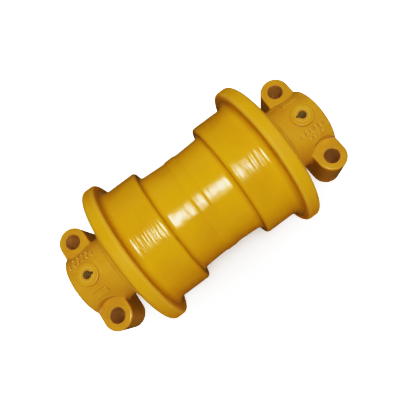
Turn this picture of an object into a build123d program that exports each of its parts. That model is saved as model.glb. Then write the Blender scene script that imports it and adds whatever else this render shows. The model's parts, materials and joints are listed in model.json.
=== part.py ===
from build123d import *

import math
import os

# Bottom track roller of a crawler undercarriage. A double-flange steel shell turns on two flanged
# bushings round a fixed shaft. The shaft ends sit in two cast collars that bolt to the track frame, each
# held by a slotted spring pin, and a floating face seal closes each end of the oil space.
#
# Frame: the origin is the middle of the shaft, +Y runs along the shaft and +Z points away from the
# mounting pads. Lengths are millimetres. Distances called ..._y are measured from the middle plane, and
# every "right" piece sits on the +Y side. The "left" pieces are the same castings and turned parts,
# carried half a turn about Z.

# Shell, outside. The hub is welded at its middle, and the seam is left as a low rippled band
tread_radius = 80.0
rim_radius = 97.3
hub_seam_radius = 67.9
hub_waist_radius = 67.0
hub_end_radius = 68.3
hub_ripple_depth = 0.12
hub_ripple_pitch = 2.8
hub_ripple_count = 5
hub_waist_y = 10.0
tread_start_y = 44.0
tread_end_y = 90.8
rim_start_y = 92.6
shell_end_y = 110.2
step_fillet = 6.0
tread_edge_round = 4.0
rim_inner_round = 4.2
rim_outer_round = 6.0
flange_root_fillet = 8.0

# Shell, inside
oil_cavity_radius = 42.0
oil_cavity_cone_y = 31.0
bushing_seat_start_y = 38.0
bushing_flange_y = 86.0
seal_floor_y = 93.0
seal_housing_end_y = 105.0
end_recess_radius = 62.0
end_recess_chamfer = 1.5

# Shaft
shaft_radius = 30.0
shaft_end_y = 177.0
shaft_chamfer = 2.0
gallery_radius = 5.0
gallery_floor_y = -6.0
port_radius = 4.0
plug_thread_radius = 8.0
plug_hole_depth = 24.0
plug_recess_radius = 11.3
plug_recess_depth = 6.0

# Bushings
running_clearance = 0.05
bushing_outer_radius = 35.0
bushing_flange_radius = 44.0
bushing_flange_clearance = 0.05
bushing_chamfer = 1.0
oil_groove_radius = 2.0
oil_groove_count = 3
thrust_groove_width = 3.0
thrust_groove_depth = 1.2
thrust_groove_count = 4

# Floating face seals
seal_face_y = 105.75
seal_face_gap = 0.05
seal_ramp_angle = 15.0
seal_ring_bore_radius = 41.5
seal_ring_length = 8.72
seal_ring_lip_radius = 50.5
seal_ring_lip_width = 3.1
seal_band_inner_radius = 47.5
seal_face_relief = 0.5
toric_radius = 49.0
toric_section_radius = 3.1
toric_y = 98.9
toric_clearance = 0.02

# Collars
end_float = 0.4
collar_bore_clearance = 0.03
nose_radius = 40.0
disc_radius = 60.0
disc_front_y = 106.5
disc_back_y = 121.8
disc_root_fillet = 5.0
disc_edge_round = 1.5
pocket_shortening = 1.0
body_radius = 43.0
collar_end_y = 178.0
collar_end_round = 3.0
collar_bore_chamfer = 1.0
pad_z = -38.5
seat_z = 16.0
ear_hole_x = 54.4
ear_hole_y = 159.5
ear_radius = 18.4
bolt_hole_radius = 9.5
bolt_hole_chamfer = 0.8
bolt_head_clearance_radius = 22.5
ear_edge_round = 2.6
ear_root_fillet = 3.0
boss_radius = 14.0
boss_top_z = 45.0
boss_edge_round = 1.5
collar_groove_y = 132.0
collar_groove_width = 4.8
collar_groove_radius = 33.5
o_ring_radius = 31.75
o_ring_section_radius = 1.7

# Raised foundry marks on the collar: two rows of plain bars on the +X side, one plain pad on the other
mark_height = 2.1
mark_root_radius = 42.0
mark_taper = 12.0
mark_edge_round = 0.8
mark_y = 155.4
mark_bar_angle = 27.0
mark_bar_length = 7.0
mark_bar_count = 6
mark_small_bar_angle = 38.0
mark_small_bar_length = 4.5
mark_small_bar_count = 4
mark_bar_width = 3.0
mark_bar_pitch = 6.0
mark_pad_angle = -35.0
mark_pad_length = 20.0
mark_pad_width = 9.0
mark_pad_corner = 1.5

# Lock pins and plug
pin_y = 155.4
pin_floor_z = 10.0
pin_recess = 0.1
pin_end_gap = 0.2
pin_radius = 8.0
pin_bore_radius = 5.0
pin_slot_width = 2.8
pin_slot_turn = -13.0
pin_chamfer = 0.2
plug_clearance = 0.05
plug_head_radius = 10.8
plug_head_height = 4.2
plug_seal_thickness = 1.2
plug_seal_inner_radius = 8.4
plug_shank_length = 14.0
plug_socket_sides = 6
plug_socket_flats = 8.0
plug_socket_depth = 6.0
plug_edge_chamfer = 0.6

# How far apart two faces or edges may be and still count as being in one place
tolerance = 0.001

# Worked out from the sizes above. The seam's points are its crests and hollows by turns, from the middle out
seam_points = [
    (hub_seam_radius - hub_ripple_depth * (turn % 2), hub_ripple_pitch * turn / 2)
    for turn in range(hub_ripple_count)
]
ramp_slope = math.tan(math.radians(seal_ramp_angle))
toric_reach = (toric_section_radius + toric_clearance) / math.cos(math.radians(seal_ramp_angle))
bore_radius = shaft_radius + collar_bore_clearance
bushing_bore_radius = shaft_radius + running_clearance
nose_face_y = seal_floor_y + end_float
plug_seat_y = shaft_end_y - plug_recess_depth
plug_head_y = plug_seat_y + plug_seal_thickness
plug_top_y = plug_head_y + plug_head_height
pin_top_z = boss_top_z - pin_recess
pocket_floor_y = 2 * seal_face_y - seal_floor_y - pocket_shortening
ring_front_y = seal_face_y - seal_face_gap / 2
ring_back_y = ring_front_y - seal_ring_length
ring_lip_y = ring_front_y - seal_ring_lip_width
facing_plane = Plane.XZ.offset(-seal_face_y)


def housing_ramp(y):
    """Radius of the housing's conical wall, on the shell side, at a distance along the shaft."""
    return toric_radius + toric_reach + (y - toric_y) * ramp_slope


def ring_ramp(y):
    """Radius of the seal ring's conical back, on the shell side, at a distance along the shaft."""
    return toric_radius - toric_reach + (y - toric_y) * ramp_slope


def across_seal_face(y):
    """The same distance on the other side of the plane where the two seal rings meet."""
    return 2 * seal_face_y - y


def corner(sketch, radius, y):
    """The outline corner nearest to a radius and a distance along the shaft."""
    return sketch.vertices().sort_by_distance((radius, y))[0]


def edges_at_height(part, z):
    """Edges that lie flat at one height."""
    flat = part.edges().filter_by(lambda edge: edge.bounding_box().size.Z < tolerance)
    return flat.filter_by(lambda edge: abs(edge.center().Z - z) < tolerance)


def casting_plane(angle):
    """A plane square to the collar's round body, turned from +Z towards +X, with its x along the shaft."""
    turn = math.radians(angle)
    outward = (math.sin(turn), 0, math.cos(turn))
    foot = (mark_root_radius * outward[0], mark_y, mark_root_radius * outward[2])
    return Plane(origin=foot, x_dir=(0, 1, 0), z_dir=outward)


def is_ear_root(edge):
    """True for the arcs where an ear's inboard wall meets the round body."""
    box = edge.bounding_box()
    on_wall = box.size.Y < tolerance and abs(box.min.Y - (ear_hole_y - ear_radius)) < tolerance
    on_body = edge.geom_type == GeomType.CIRCLE and abs(edge.radius - body_radius) < tolerance
    return on_wall and on_body


def is_mark_top(edge):
    """True for the edges round the top of a raised mark."""
    middle = edge.center()
    return math.hypot(middle.X, middle.Z) > body_radius + mark_height - tolerance


def is_bolt_hole_mouth(edge):
    """True for the round edge where a bolt hole opens."""
    return edge.geom_type == GeomType.CIRCLE and abs(edge.radius - bolt_hole_radius) < tolerance


def edges_at_distance(builder, y):
    """Round edges that lie at one distance along the shaft."""
    return builder.edges().filter_by(lambda edge: abs(edge.center().Y - y) < tolerance)


# Roller shell, turned from one forging: hub, two treads, two outer flanges and the seal housings
with BuildPart() as roller_shell:
    with BuildSketch(Plane.XY) as shell_half:
        with BuildLine():
            seam = Spline(*seam_points, (hub_waist_radius, hub_waist_y), tangents=[(0, 1), (0, 1)])
            hub = Spline(seam @ 1, (hub_end_radius, tread_start_y), tangents=[(0, 1), (0, 1)])
            Polyline(
                hub @ 1,
                (tread_radius, tread_start_y),
                (tread_radius, tread_end_y),
                (rim_radius, rim_start_y),
                (rim_radius, shell_end_y),
                (end_recess_radius, shell_end_y),
                (end_recess_radius, seal_housing_end_y),
                (housing_ramp(seal_housing_end_y), seal_housing_end_y),
                (housing_ramp(seal_floor_y), seal_floor_y),
                (bushing_flange_radius + bushing_flange_clearance, seal_floor_y),
                (bushing_flange_radius + bushing_flange_clearance, bushing_flange_y),
                (bushing_outer_radius, bushing_flange_y),
                (bushing_outer_radius, bushing_seat_start_y),
                (oil_cavity_radius, oil_cavity_cone_y),
                (oil_cavity_radius, 0),
                seam @ 0,
            )
        make_face()
        fillet(corner(shell_half, hub_end_radius, tread_start_y), step_fillet)
        fillet(corner(shell_half, tread_radius, tread_start_y), tread_edge_round)
        fillet(corner(shell_half, tread_radius, tread_end_y), flange_root_fillet)
        fillet(corner(shell_half, rim_radius, rim_start_y), rim_inner_round)
        fillet(corner(shell_half, rim_radius, shell_end_y), rim_outer_round)
        chamfer(corner(shell_half, end_recess_radius, shell_end_y), end_recess_chamfer)
        mirror(about=Plane.XZ)
    revolve(axis=Axis.Y)

# Fixed shaft with its oil gallery from the +Y end, the port to the oil space and the two pin bores
with BuildPart() as shaft:
    with BuildSketch(Plane.XZ.offset(-shaft_end_y)):
        Circle(shaft_radius)
    extrude(amount=2 * shaft_end_y)
    chamfer(shaft.edges().filter_by(GeomType.CIRCLE), shaft_chamfer)
    for hole_radius, hole_depth in (
        (plug_recess_radius, plug_recess_depth),
        (plug_thread_radius, plug_hole_depth),
        (gallery_radius, shaft_end_y - gallery_floor_y),
    ):
        with BuildSketch(Plane.XZ.offset(-shaft_end_y)):
            Circle(hole_radius)
        extrude(amount=hole_depth, mode=Mode.SUBTRACT)
    with BuildSketch(Plane.XY.offset(-shaft_radius)):
        Circle(port_radius)
    extrude(amount=shaft_radius, mode=Mode.SUBTRACT)
    with BuildSketch(Plane.XY.offset(pin_floor_z)):
        with Locations((0, pin_y), (0, -pin_y)):
            Circle(pin_radius)
    extrude(amount=shaft_radius, mode=Mode.SUBTRACT)

# Flanged bushing, pressed into the shell, with oil grooves along the bore and across the thrust face
with BuildPart() as bushing_right:
    with BuildSketch(Plane.XY) as bushing_section:
        with BuildLine():
            Polyline(
                (bushing_bore_radius, bushing_seat_start_y),
                (bushing_outer_radius, bushing_seat_start_y),
                (bushing_outer_radius, bushing_flange_y),
                (bushing_flange_radius, bushing_flange_y),
                (bushing_flange_radius, seal_floor_y),
                (bushing_bore_radius, seal_floor_y),
                close=True,
            )
        make_face()
        chamfer(corner(bushing_section, bushing_outer_radius, bushing_seat_start_y), bushing_chamfer)
        chamfer(corner(bushing_section, bushing_bore_radius, seal_floor_y), bushing_chamfer)
    revolve(axis=Axis.Y)
    with BuildSketch(Plane.XZ.offset(-seal_floor_y)):
        with PolarLocations(bushing_bore_radius, oil_groove_count):
            Circle(oil_groove_radius)
    extrude(amount=seal_floor_y - bushing_seat_start_y, mode=Mode.SUBTRACT)
    with BuildSketch(Plane.XZ.offset(-seal_floor_y)):
        with PolarLocations((bushing_bore_radius + bushing_flange_radius) / 2, thrust_groove_count):
            Rectangle(bushing_flange_radius, thrust_groove_width)
    extrude(amount=thrust_groove_depth, mode=Mode.SUBTRACT)

# Metal seal ring on the shell side: conical back for the rubber, lip, lapped band and relieved face
with BuildPart() as seal_ring_shell_right:
    with BuildSketch(Plane.XY):
        with BuildLine():
            Polyline(
                (seal_ring_bore_radius, ring_back_y),
                (ring_ramp(ring_back_y), ring_back_y),
                (ring_ramp(ring_lip_y), ring_lip_y),
                (seal_ring_lip_radius, ring_lip_y),
                (seal_ring_lip_radius, ring_front_y),
                (seal_band_inner_radius, ring_front_y),
                (seal_ring_bore_radius, ring_front_y - seal_face_relief),
                close=True,
            )
        make_face()
    revolve(axis=Axis.Y)

# Rubber toric ring that loads the shell-side metal ring
with BuildPart() as toric_ring_shell_right:
    with BuildSketch(Plane.XY):
        with Locations((toric_radius, toric_y)):
            Circle(toric_section_radius)
    revolve(axis=Axis.Y)

# Collar-side ring and toric: the same two parts turned round to face the shell side
with BuildPart() as seal_ring_collar_right:
    add(mirror(seal_ring_shell_right.part, about=facing_plane))
with BuildPart() as toric_ring_collar_right:
    add(mirror(toric_ring_shell_right.part, about=facing_plane))

# Both ears as one block, its upper edge rounded as cast
with BuildPart() as ear_block:
    with BuildSketch(Plane.XY.offset(pad_z)):
        with Locations((0, ear_hole_y)):
            SlotCenterToCenter(2 * ear_hole_x, 2 * ear_radius)
    extrude(amount=seat_z - pad_z)
    fillet(edges_at_height(ear_block, seat_z), ear_edge_round)

# Raised foundry marks, tapered so that they leave the sand mould
with BuildPart() as foundry_marks:
    for angle, length, count in (
        (mark_bar_angle, mark_bar_length, mark_bar_count),
        (mark_small_bar_angle, mark_small_bar_length, mark_small_bar_count),
    ):
        with BuildSketch(casting_plane(angle)):
            with GridLocations(mark_bar_pitch, 0, count, 1):
                Rectangle(mark_bar_width, length)
        extrude(amount=body_radius + mark_height - mark_root_radius, taper=mark_taper)
    with BuildSketch(casting_plane(mark_pad_angle)):
        RectangleRounded(mark_pad_length, mark_pad_width, mark_pad_corner)
    extrude(amount=body_radius + mark_height - mark_root_radius, taper=mark_taper)
    fillet(foundry_marks.edges().filter_by(is_mark_top), mark_edge_round)

# Collar: nose that backs the bushing, seal disc, bored body, two ears with bolt holes and the pin boss
with BuildPart() as collar_right:
    with BuildSketch(Plane.XY) as collar_section:
        with BuildLine():
            Polyline(
                (bore_radius, nose_face_y),
                (nose_radius, nose_face_y),
                (nose_radius, pocket_floor_y),
                (housing_ramp(across_seal_face(pocket_floor_y)), pocket_floor_y),
                (housing_ramp(across_seal_face(disc_front_y)), disc_front_y),
                (disc_radius, disc_front_y),
                (disc_radius, disc_back_y),
                (body_radius, disc_back_y),
                (body_radius, collar_end_y),
                (bore_radius, collar_end_y),
                close=True,
            )
        make_face()
        fillet(corner(collar_section, disc_radius, disc_front_y), disc_edge_round)
        fillet(corner(collar_section, disc_radius, disc_back_y), disc_edge_round)
        fillet(corner(collar_section, body_radius, disc_back_y), disc_root_fillet)
        fillet(corner(collar_section, body_radius, collar_end_y), collar_end_round)
        chamfer(corner(collar_section, bore_radius, collar_end_y), collar_bore_chamfer)
    revolve(axis=Axis.Y)
    add(ear_block.part)
    fillet(collar_right.edges().filter_by(is_ear_root), ear_root_fillet)

    # Flat mounting pad under the body, level with the ears
    with BuildSketch(Plane.XY.offset(pad_z)):
        with Locations((0, (disc_back_y + collar_end_y) / 2)):
            Rectangle(2 * disc_radius, collar_end_y - disc_back_y)
    extrude(amount=-disc_radius, mode=Mode.SUBTRACT)

    # Round cuts in the body's flanks that let a bolt head and its socket reach the seats
    with BuildSketch(Plane.XY.offset(seat_z)):
        with Locations((ear_hole_x, ear_hole_y), (-ear_hole_x, ear_hole_y)):
            Circle(bolt_head_clearance_radius)
    extrude(amount=body_radius, mode=Mode.SUBTRACT)

    # Boss round the lock pin, with the raised foundry marks on each side of it
    with BuildSketch(Plane.XY.offset(shaft_radius)):
        with Locations((0, pin_y)):
            Circle(boss_radius)
    extrude(amount=boss_top_z - shaft_radius)
    fillet(edges_at_height(collar_right, boss_top_z), boss_edge_round)
    add(foundry_marks.part)

    # Shaft bore, O-ring groove in it, lock pin bore and bolt holes
    with BuildSketch(Plane.XZ.offset(-collar_end_y)):
        Circle(bore_radius)
    extrude(amount=collar_end_y - nose_face_y, mode=Mode.SUBTRACT)
    with BuildSketch(Plane.XY):
        with Locations((collar_groove_radius / 2, collar_groove_y)):
            Rectangle(collar_groove_radius, collar_groove_width)
    revolve(axis=Axis.Y, mode=Mode.SUBTRACT)
    with BuildSketch(Plane.XY):
        with Locations((0, pin_y)):
            Circle(pin_radius)
    extrude(amount=boss_top_z, mode=Mode.SUBTRACT)
    with BuildSketch(Plane.XY.offset(pad_z)):
        with Locations((ear_hole_x, ear_hole_y), (-ear_hole_x, ear_hole_y)):
            Circle(bolt_hole_radius)
    extrude(amount=seat_z - pad_z, mode=Mode.SUBTRACT)
    bolt_hole_mouths = edges_at_height(collar_right, seat_z).filter_by(is_bolt_hole_mouth)
    chamfer(bolt_hole_mouths, bolt_hole_chamfer)

# O-ring between the collar bore and the shaft
with BuildPart() as collar_o_ring_right:
    with BuildSketch(Plane.XY):
        with Locations((o_ring_radius, collar_groove_y)):
            Circle(o_ring_section_radius)
    revolve(axis=Axis.Y)

# Slotted spring pin that locks the collar to the shaft, its slot towards the shell
with BuildPart() as lock_pin_right:
    with BuildSketch(Plane.XY.offset(pin_floor_z + pin_end_gap)):
        with Locations((0, pin_y)):
            Circle(pin_radius)
    extrude(amount=pin_top_z - pin_floor_z - pin_end_gap)
    chamfer(lock_pin_right.edges().filter_by(GeomType.CIRCLE), pin_chamfer)
    with BuildSketch(Plane.XY.offset(pin_floor_z)):
        with Locations((0, pin_y)):
            Circle(pin_bore_radius)
            Rectangle(pin_slot_width, 2 * pin_radius, pin_slot_turn, (Align.CENTER, Align.MAX))
    extrude(amount=pin_top_z, mode=Mode.SUBTRACT)

# Oil filler plug in the +Y end of the shaft, with a hexagon socket, and the sealing washer under it
with BuildPart() as oil_plug:
    with BuildSketch(Plane.XZ.offset(-plug_top_y)):
        Circle(plug_head_radius)
    extrude(amount=plug_head_height)
    chamfer(edges_at_distance(oil_plug, plug_top_y), plug_edge_chamfer)
    with BuildSketch(Plane.XZ.offset(-plug_head_y)):
        Circle(plug_thread_radius - plug_clearance)
    extrude(amount=plug_shank_length)
    with BuildSketch(Plane.XZ.offset(-plug_top_y)):
        RegularPolygon(plug_socket_flats / 2, plug_socket_sides, major_radius=False)
    extrude(amount=plug_socket_depth, mode=Mode.SUBTRACT)
with BuildPart() as oil_plug_seal:
    with BuildSketch(Plane.XZ.offset(-plug_head_y)):
        Circle(plug_head_radius)
        Circle(plug_seal_inner_radius, mode=Mode.SUBTRACT)
    extrude(amount=plug_seal_thickness)

# The left end: each right piece carried half a turn about Z
paired_pieces = {
    "bushing": bushing_right,
    "seal_ring_shell": seal_ring_shell_right,
    "seal_ring_collar": seal_ring_collar_right,
    "toric_ring_shell": toric_ring_shell_right,
    "toric_ring_collar": toric_ring_collar_right,
    "collar": collar_right,
    "collar_o_ring": collar_o_ring_right,
    "lock_pin": lock_pin_right,
}
pieces = {
    "roller_shell": roller_shell,
    "shaft": shaft,
    "oil_plug": oil_plug,
    "oil_plug_seal": oil_plug_seal,
}
for family, right_piece in paired_pieces.items():
    with BuildPart() as left_piece:
        add(right_piece.part.rotate(Axis.Z, 180))
    pieces[family + "_right"] = right_piece
    pieces[family + "_left"] = left_piece

os.makedirs("parts", exist_ok=True)
for name, piece in pieces.items():
    piece.part.label = name
    export_step(piece.part, f"parts/{name}.step")
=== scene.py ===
import json
import math

import bpy
from mathutils import Matrix, Vector


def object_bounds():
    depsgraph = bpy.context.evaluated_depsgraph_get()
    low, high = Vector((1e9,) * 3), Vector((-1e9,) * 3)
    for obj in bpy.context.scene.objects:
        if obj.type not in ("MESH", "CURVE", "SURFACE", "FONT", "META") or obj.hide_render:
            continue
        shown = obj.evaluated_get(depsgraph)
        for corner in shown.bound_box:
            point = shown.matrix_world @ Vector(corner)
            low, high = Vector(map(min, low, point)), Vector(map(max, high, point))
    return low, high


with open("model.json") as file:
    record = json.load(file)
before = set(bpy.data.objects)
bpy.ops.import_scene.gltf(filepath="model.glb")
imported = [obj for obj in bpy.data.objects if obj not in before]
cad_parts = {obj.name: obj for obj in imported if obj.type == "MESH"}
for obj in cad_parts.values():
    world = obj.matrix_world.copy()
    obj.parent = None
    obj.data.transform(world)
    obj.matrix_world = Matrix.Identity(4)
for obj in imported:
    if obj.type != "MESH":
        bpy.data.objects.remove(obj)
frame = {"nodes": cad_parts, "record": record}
cad_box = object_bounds()

MM = 0.001

# Paint and metal colours, linear
SHELL_YELLOW = (0.74, 0.43, 0.008)
SHELL_YELLOW_THIN = (0.70, 0.39, 0.008)
COLLAR_YELLOW = (0.66, 0.365, 0.018)
COLLAR_YELLOW_THICK = (0.70, 0.405, 0.022)
COLLAR_ORANGE = (0.58, 0.265, 0.016)
# Pale yellow mixed onto sharp outside edges as a painted highlight
PAINTED_GLINT_YELLOW = (1.0, 0.80, 0.28)
# Brown mixed into corners, creases and turning furrows as painted shade
PAINTED_SHADE_BROWN = (0.30, 0.115, 0.014)
# Pale tan for the bolt-hole walls, painted light that brightens the deep bores; the steel grain also uses it
# as a stain
HOLE_BROWN = (0.90, 0.66, 0.22)
OILY_STEEL = (0.46, 0.39, 0.12)
BRONZE = (0.60, 0.42, 0.20)
SEAL_IRON = (0.36, 0.36, 0.37)
COPPER = (0.72, 0.36, 0.22)
RUBBER_BLACK = (0.012, 0.012, 0.012)
RUBBER_BLOOM = (0.03, 0.03, 0.032)

# Where the looks change on the object: each pair is where a fade starts and where it ends
TREAD_INNER_END = (47 * MM, 50 * MM)
TREAD_OUTER_END = (84 * MM, 81 * MM)
RIM_RADIUS = (86 * MM, 92 * MM)
# FLANGE_ROOT_Y: where the painted shade in the shell's corners grows stronger
FLANGE_ROOT_Y = (60 * MM, 80 * MM)
PIN_PAINT_Z = (44.0 * MM, 44.8 * MM)
SHAFT_PAINT_Y = (174 * MM, 176 * MM)
bolts = next(m for m in frame["record"]["mounts"] if m["name"] == "track_frame_bolts")["dims"]
BOLT_X = bolts["spacing_x_mm"] / 2 * MM
BOLT_Y = bolts["spacing_y_mm"] / 2 * MM
HOLE_EDGE = ((bolts["hole_r_mm"] + 0.4) * MM, (bolts["hole_r_mm"] + 0.1) * MM)

# The photograph's camera, fitted to the outline: above, a little to +X, the shaft running up to the right
CAMERA_SENSOR = 36.0
CAMERA_LENS = 35.73
CAMERA_EYE = Vector((0.1331, -0.0036, 0.4849))
CAMERA_FORWARD = Vector((-0.2714, 0.0097, -0.9624))
CAMERA_UP = Vector((-0.7706, 0.5969, 0.2233))

# Lamps and room
KEY_PLACE = (0.215, 0.02, 0.95)
KEY_TARGET = (0, 0.02, 0)
KEY_SIZE = (0.70, 0.46)
KEY_POWER = 25
FILL_SIZE = (0.8, 0.8)
FILLS = (
    ("softbox_side", (-0.85, -0.10, 0.55), 8),
    ("softbox_low", (0.85, -0.10, 0.15), 3.5),
)
LAMP_EDGE = 0.5
ROOM_WARM = (1.0, 0.80, 0.55)
ROOM_WARM_POWER = 0.10
WHITE = (1.0, 1.0, 1.0)
WHITE_POWER = 1.6

# Floor: colours that the camera sees, and the light it gives back to the object
FLOOR_HALF = 3.0
FLOOR_PALE = (0.78, 0.78, 0.78)
FLOOR_PALER = (0.80, 0.80, 0.80)
FLOOR_BOUNCE = (0.80, 0.60, 0.40)
FLOOR_MIRRORED = (0.06, 0.05, 0.04)

# Film-like tone curve: scene brightness against the share of white that is shown
TONE_WHITE = 2.0
TONE_CURVE = ((0.10, 0.06), (0.20, 0.16), (0.35, 0.36), (0.70, 0.70), (1.0, 0.88), (1.4, 0.97))


class Shader:
    """Builds the nodes of a material, lamp or world. Methods add nodes and return the new socket."""

    def __init__(self, tree):
        self.nodes = tree.nodes
        self.links = tree.links
        self.nodes.clear()
        self.place = self.node("ShaderNodeTexCoord").outputs["Object"]
        self.x, self.y, self.z = self.split(self.place)

    def node(self, kind, inputs=None, **settings):
        made = self.nodes.new(kind)
        for key, value in settings.items():
            setattr(made, key, value)
        for key, value in (inputs or {}).items():
            if isinstance(value, bpy.types.NodeSocket):
                self.links.new(value, made.inputs[key])
            else:
                made.inputs[key].default_value = value
        return made

    def split(self, vector):
        return self.node("ShaderNodeSeparateXYZ", {"Vector": vector}).outputs

    def math(self, operation, first, second=0.0):
        return self.node("ShaderNodeMath", {0: first, 1: second}, operation=operation).outputs[0]

    def times(self, first, second):
        return self.math("MULTIPLY", first, second)

    def away(self, value):
        return self.math("ABSOLUTE", value)

    def length(self, first, second):
        squares = self.math("ADD", self.times(first, first), self.times(second, second))
        return self.math("SQRT", squares)

    def noise(self, size, detail=2.0, roughness=0.5, stretch=(1, 1, 1)):
        """Soft noise from 0 to 1 whose features are about size metres across."""
        scaled = self.node("ShaderNodeVectorMath", {0: self.place, 1: stretch}, operation="MULTIPLY")
        inputs = {
            "Vector": scaled.outputs[0],
            "Scale": 1 / size,
            "Detail": detail,
            "Roughness": roughness,
        }
        return self.node("ShaderNodeTexNoise", inputs).outputs["Fac"]

    def specks(self, spacing, size):
        """1 in small round dots size metres across, about spacing metres apart, 0 between them."""
        inputs = {"Vector": self.place, "Scale": 1 / spacing}
        dots = self.node("ShaderNodeTexVoronoi", inputs).outputs["Distance"]
        return self.fade(dots, size / spacing, 0.0)

    def scallops(self, pitch, wander):
        """Turning marks: round furrows along the shaft axis, pitch metres apart, that wander a little."""
        drift = self.times(self.noise(12 * pitch, 1.0), wander)
        turns = self.times(self.math("ADD", self.y, drift), math.pi / pitch)
        return self.away(self.math("SINE", turns))

    def fade(self, value, start, end):
        """0 where value is at start, 1 at end, smooth between."""
        inputs = {"Value": value, "From Min": start, "From Max": end}
        return self.node("ShaderNodeMapRange", inputs, interpolation_type="SMOOTHSTEP").outputs["Result"]

    def mix(self, share, first, second):
        made = self.node("ShaderNodeMix", {"Factor": share}, data_type="RGBA")
        for socket, value in ((made.inputs[6], first), (made.inputs[7], second)):
            if isinstance(value, bpy.types.NodeSocket):
                self.links.new(value, socket)
            else:
                socket.default_value = (*value, 1.0)
        return made.outputs[2]

    def blend(self, share, first, second):
        """Number between first and second."""
        inputs = {"Factor": share, 2: first, 3: second}
        return self.node("ShaderNodeMix", inputs, data_type="FLOAT").outputs[0]

    def crevice(self, reach):
        """1 in tight inside corners, 0 in the open."""
        made = self.node("ShaderNodeAmbientOcclusion", {"Distance": reach}, samples=8)
        return self.math("SUBTRACT", 1.0, made.outputs["AO"])

    def edge(self, reach):
        """1 on sharp outside edges, 0 on broad faces."""
        settings = {"samples": 8, "inside": True, "only_local": True}
        made = self.node("ShaderNodeAmbientOcclusion", {"Distance": reach}, **settings)
        return self.math("SUBTRACT", 1.0, made.outputs["AO"])

    def bump(self, height, distance, below=None):
        """Normal for a height from 0 to 1 that stands for distance metres, on top of another bump."""
        inputs = {"Height": height, "Distance": distance, "Strength": 1.0}
        if below is not None:
            inputs["Normal"] = below
        return self.node("ShaderNodeBump", inputs).outputs["Normal"]

    def principled(self, **inputs):
        named = {}
        for key, value in inputs.items():
            named[key.replace("_", " ").title().replace("Ior", "IOR")] = value
        surface = self.node("ShaderNodeBsdfPrincipled", named)
        self.links.new(surface.outputs[0], self.node("ShaderNodeOutputMaterial").inputs["Surface"])


def new_material(name):
    made = bpy.data.materials.new(name)
    made.use_nodes = True
    return made


def shell_paint():
    """Thick gloss enamel over turned steel: the tool marks of the treads show in the highlights."""
    made = new_material("shell_paint")
    s = Shader(made.node_tree)
    along = s.away(s.y)
    tread = s.times(s.fade(along, *TREAD_INNER_END), s.fade(along, *TREAD_OUTER_END))
    rim = s.fade(s.length(s.x, s.z), *RIM_RADIUS)
    sag = s.bump(s.noise(14 * MM, 1.0), 0.50 * MM)
    skin = s.bump(s.noise(2.6 * MM, 1.0), 0.015 * MM, sag)
    skin = s.bump(s.specks(9 * MM, 0.9 * MM), 0.10 * MM, skin)
    lines = s.noise(3.4 * MM, 2.0, 0.6, stretch=(0.05, 1, 0.05))
    under = s.bump(s.times(lines, s.blend(tread, 0.1, 0.25)), 1.0 * MM, skin)
    gloss = s.bump(s.times(lines, s.blend(tread, 0.5, 0.8)), 1.0 * MM, skin)
    colour = s.mix(s.fade(s.noise(50 * MM, 2.0), 0.35, 0.65), SHELL_YELLOW, SHELL_YELLOW_THIN)
    # Turning furrows a touch darker: partly paint pooled in them, partly painted shade
    colour = s.mix(s.times(s.fade(lines, 0.55, 0.3), s.times(tread, 0.03)), colour, PAINTED_SHADE_BROWN)
    # Painted shade in corners and recesses, stronger towards the flange roots
    painted_shade_share = s.blend(s.fade(along, *FLANGE_ROOT_Y), 0.4, 0.9)
    colour = s.mix(s.times(s.fade(s.crevice(8 * MM), 0.2, 0.9), painted_shade_share), colour, PAINTED_SHADE_BROWN)
    # Painted highlight: pale lines on the sharp edges of the flange rims
    rim_painted_glint = s.times(s.fade(s.edge(4 * MM), 0.05, 0.25), rim)
    colour = s.mix(s.times(rim_painted_glint, 0.4), colour, PAINTED_GLINT_YELLOW)
    s.principled(
        base_color=colour,
        roughness=0.5,
        specular_ior_level=0.0,
        coat_weight=s.blend(rim, 0.9, 0.35),
        coat_roughness=s.blend(rim, s.blend(s.noise(9 * MM), 0.06, 0.14), 0.42),
        coat_ior=1.5,
        normal=under,
        coat_normal=gloss,
    )
    return made


def collar_paint():
    """The same enamel over a sand casting: duller and patchy, with painted shade in the corners and painted
    highlights as pale lines on the sharp edges.
    """
    made = new_material("collar_paint")
    s = Shader(made.node_tree)
    sand = s.noise(1.5 * MM, 3.0, 0.6)
    skin = s.noise(6 * MM, 2.0)
    normal = s.bump(skin, 0.30 * MM)
    normal = s.bump(sand, 0.045 * MM, normal)
    from_hole = s.length(
        s.math("SUBTRACT", s.away(s.x), BOLT_X),
        s.math("SUBTRACT", s.away(s.y), BOLT_Y),
    )
    in_hole = s.fade(from_hole, *HOLE_EDGE)
    patches = s.fade(s.noise(22 * MM, 3.0), 0.35, 0.7)
    stains = s.fade(s.noise(9 * MM, 4.0, 0.65), 0.55, 0.75)
    colour = s.mix(patches, COLLAR_YELLOW, COLLAR_YELLOW_THICK)
    colour = s.mix(s.times(stains, 0.4), colour, COLLAR_ORANGE)
    # Painted shade in the corners and recesses of the casting
    colour = s.mix(s.times(s.fade(s.crevice(6 * MM), 0.25, 0.9), 0.7), colour, PAINTED_SHADE_BROWN)
    # Painted highlight: pale lines on the sharp edges of ears, boss and marks
    colour = s.mix(s.times(s.fade(s.edge(1.6 * MM), 0.1, 0.5), 0.7), colour, PAINTED_GLINT_YELLOW)
    # Bolt-hole walls get a paler tan than the paint: painted light in the deep bores
    colour = s.mix(in_hole, colour, s.mix(skin, HOLE_BROWN, COLLAR_YELLOW))
    s.principled(
        base_color=colour,
        roughness=s.blend(sand, 0.4, 0.6),
        specular_ior_level=0.12,
        coat_weight=s.blend(in_hole, 0.9, 0.2),
        coat_roughness=s.blend(skin, 0.06, 0.14),
        coat_ior=1.5,
        normal=normal,
        coat_normal=normal,
    )
    return made


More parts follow.
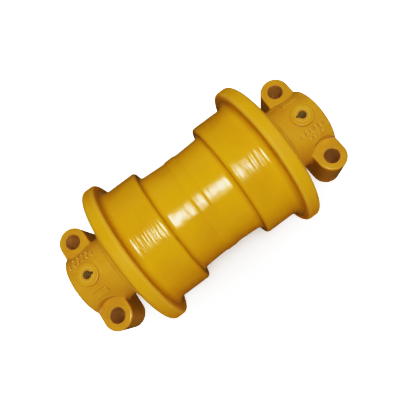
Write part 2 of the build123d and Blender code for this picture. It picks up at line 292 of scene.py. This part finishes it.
def steel_under_paint(name, along_axis, paint):
    """Oily dark steel, painted only past a distance along one axis: paint is where it starts and is full."""
    made = new_material(name)
    s = Shader(made.node_tree)
    grain = s.noise(3 * MM, 3.0)
    painted = s.fade(s.away(s.y) if along_axis == "y" else s.z, *paint)
    s.principled(
        base_color=s.mix(painted, s.mix(grain, OILY_STEEL, HOLE_BROWN), COLLAR_YELLOW),
        roughness=s.blend(grain, 0.35, 0.55),
        coat_weight=s.times(painted, 0.8),
        coat_roughness=0.15,
        normal=s.bump(grain, 0.05 * MM),
    )
    return made


def metal(name, colour, roughness, grain, pitch):
    """Bare machined metal with turning marks and slight staining."""
    made = new_material(name)
    s = Shader(made.node_tree)
    s.principled(
        base_color=s.mix(s.noise(14 * MM, 3.0), colour, tuple(0.6 * c for c in colour)),
        metallic=1.0,
        roughness=s.blend(s.noise(5 * MM, 3.0), 0.8 * roughness, 1.2 * roughness),
        normal=s.bump(s.scallops(pitch, pitch), grain),
    )
    return made


def rubber():
    """Black nitrile with a fine matte skin and a little bloom."""
    made = new_material("seal_rubber")
    s = Shader(made.node_tree)
    s.principled(
        base_color=s.mix(s.noise(6 * MM, 2.0), RUBBER_BLACK, RUBBER_BLOOM),
        roughness=0.6,
        normal=s.bump(s.noise(0.6 * MM, 2.0), 0.02 * MM),
    )
    return made


def dress(material, *names):
    for name in names:
        node = frame["nodes"][name]
        node.data.materials.clear()
        node.data.materials.append(material)


def both(name):
    return f"{name}_left", f"{name}_right"


dress(shell_paint(), "roller_shell")
dress(collar_paint(), *both("collar"), "oil_plug")
dress(steel_under_paint("pin_steel", "z", PIN_PAINT_Z), *both("lock_pin"))
dress(steel_under_paint("shaft_steel", "y", SHAFT_PAINT_Y), "shaft")
dress(metal("washer_copper", COPPER, 0.35, 0.004 * MM, 0.5 * MM), "oil_plug_seal")
dress(metal("bushing_bronze", BRONZE, 0.3, 0.006 * MM, 0.4 * MM), *both("bushing"))
iron = metal("seal_iron", SEAL_IRON, 0.28, 0.004 * MM, 0.5 * MM)
dress(iron, *both("seal_ring_shell"), *both("seal_ring_collar"))
dress(rubber(), *both("toric_ring_shell"), *both("toric_ring_collar"), *both("collar_o_ring"))


def placed(name, data, matrix):
    made = bpy.data.objects.new(name, data)
    bpy.context.scene.collection.objects.link(made)
    made.matrix_world = matrix
    return made


def point_at(eye, target, up):
    """World matrix for a camera or lamp at eye that looks at target."""
    back = (Vector(eye) - Vector(target)).normalized()
    right = Vector(up).cross(back).normalized()
    turn = Matrix((right, back.cross(right), back)).transposed()
    return Matrix.Translation(eye) @ turn.to_4x4()


def camera():
    """The photograph's view."""
    data = bpy.data.cameras.new("camera")
    data.sensor_width = CAMERA_SENSOR
    data.lens = CAMERA_LENS
    data.clip_start = 0.01
    data.clip_end = 20.0
    turned = point_at(CAMERA_EYE, CAMERA_EYE + CAMERA_FORWARD, CAMERA_UP)
    bpy.context.scene.camera = placed("camera", data, turned)


def softbox(name, eye, target, size, power):
    """Rectangular lamp, as bright as power watts, that fades from its middle towards its edges."""
    data = bpy.data.lights.new(name, "AREA")
    data.shape = "RECTANGLE"
    data.size, data.size_y = size
    data.energy = power
    data.use_nodes = True
    s = Shader(data.node_tree)
    across, up, _ = s.split(s.node("ShaderNodeNewGeometry").outputs["Parametric"])
    glow = 1.0
    for place in (across, up):
        inward = s.math("SUBTRACT", 0.5, s.away(s.math("SUBTRACT", place, 0.5)))
        glow = s.times(glow, s.fade(inward, 0.0, LAMP_EDGE))
    emission = s.node("ShaderNodeEmission", {"Strength": glow})
    s.links.new(emission.outputs[0], s.node("ShaderNodeOutputLight").inputs["Surface"])
    return placed(name, data, point_at(Vector(eye), Vector(target), (0, 1, 0)))


def floor():
    """Seamless floor under the two flange rims. It is pale to the camera and warmer to the object, and its
    glow dims near the object as a painted soft shadow.
    """
    height = cad_box[0].z
    mesh = bpy.data.meshes.new("floor")
    corners = [(FLOOR_HALF * x, FLOOR_HALF * y, height) for x, y in ((-1, -1), (1, -1), (1, 1), (-1, 1))]
    mesh.from_pydata(corners, [], [(0, 1, 2, 3)])
    material = new_material("floor")
    s = Shader(material.node_tree)
    path = s.node("ShaderNodeLightPath").outputs
    seen = path["Is Camera Ray"]
    bounce = s.mix(path["Is Glossy Ray"], FLOOR_BOUNCE, FLOOR_MIRRORED)
    pale = s.mix(s.noise(0.4, 1.0), FLOOR_PALE, FLOOR_PALER)
    # Painted shadow: the camera-seen glow fades where the object overhangs the floor
    outside_painted_shadow = s.fade(s.crevice(0.12), 0.75, 0.1)
    s.principled(
        base_color=s.mix(seen, bounce, pale),
        roughness=0.7,
        specular_ior_level=0.0,
        emission_color=(1, 1, 1, 1),
        emission_strength=s.times(s.times(seen, outside_painted_shadow), WHITE_POWER),
    )
    mesh.materials.append(material)
    placed("floor", mesh, Matrix())


def studio():
    """One soft key beside the camera, two weak fills and a dim warm room that looks white."""
    scene = bpy.context.scene
    scene.world = bpy.data.worlds.new("studio")
    scene.world.use_nodes = True
    s = Shader(scene.world.node_tree)
    seen = s.node("ShaderNodeLightPath").outputs["Is Camera Ray"]
    room = {
        "Color": s.mix(seen, ROOM_WARM, WHITE),
        "Strength": s.blend(seen, ROOM_WARM_POWER, WHITE_POWER),
    }
    background = s.node("ShaderNodeBackground", room)
    s.links.new(background.outputs[0], s.node("ShaderNodeOutputWorld").inputs["Surface"])
    softbox("softbox_key", KEY_PLACE, KEY_TARGET, KEY_SIZE, KEY_POWER)
    for name, eye, power in FILLS:
        fill = softbox(name, eye, (0, 0, 0), FILL_SIZE, power)
        fill.visible_glossy = False
    scene.cycles.denoising_prefilter = "NONE"


def tone():
    """Film-like tone curve that holds the highlights below white."""
    view = bpy.context.scene.view_settings
    view.view_transform = "Standard"
    view.look = "None"
    view.use_curve_mapping = True
    mapping = view.curve_mapping
    mapping.white_level = (TONE_WHITE, TONE_WHITE, TONE_WHITE)
    for bright, shown in TONE_CURVE:
        mapping.curves[3].points.new(bright / TONE_WHITE, shown)
    mapping.update()


camera()
floor()
studio()
tone()
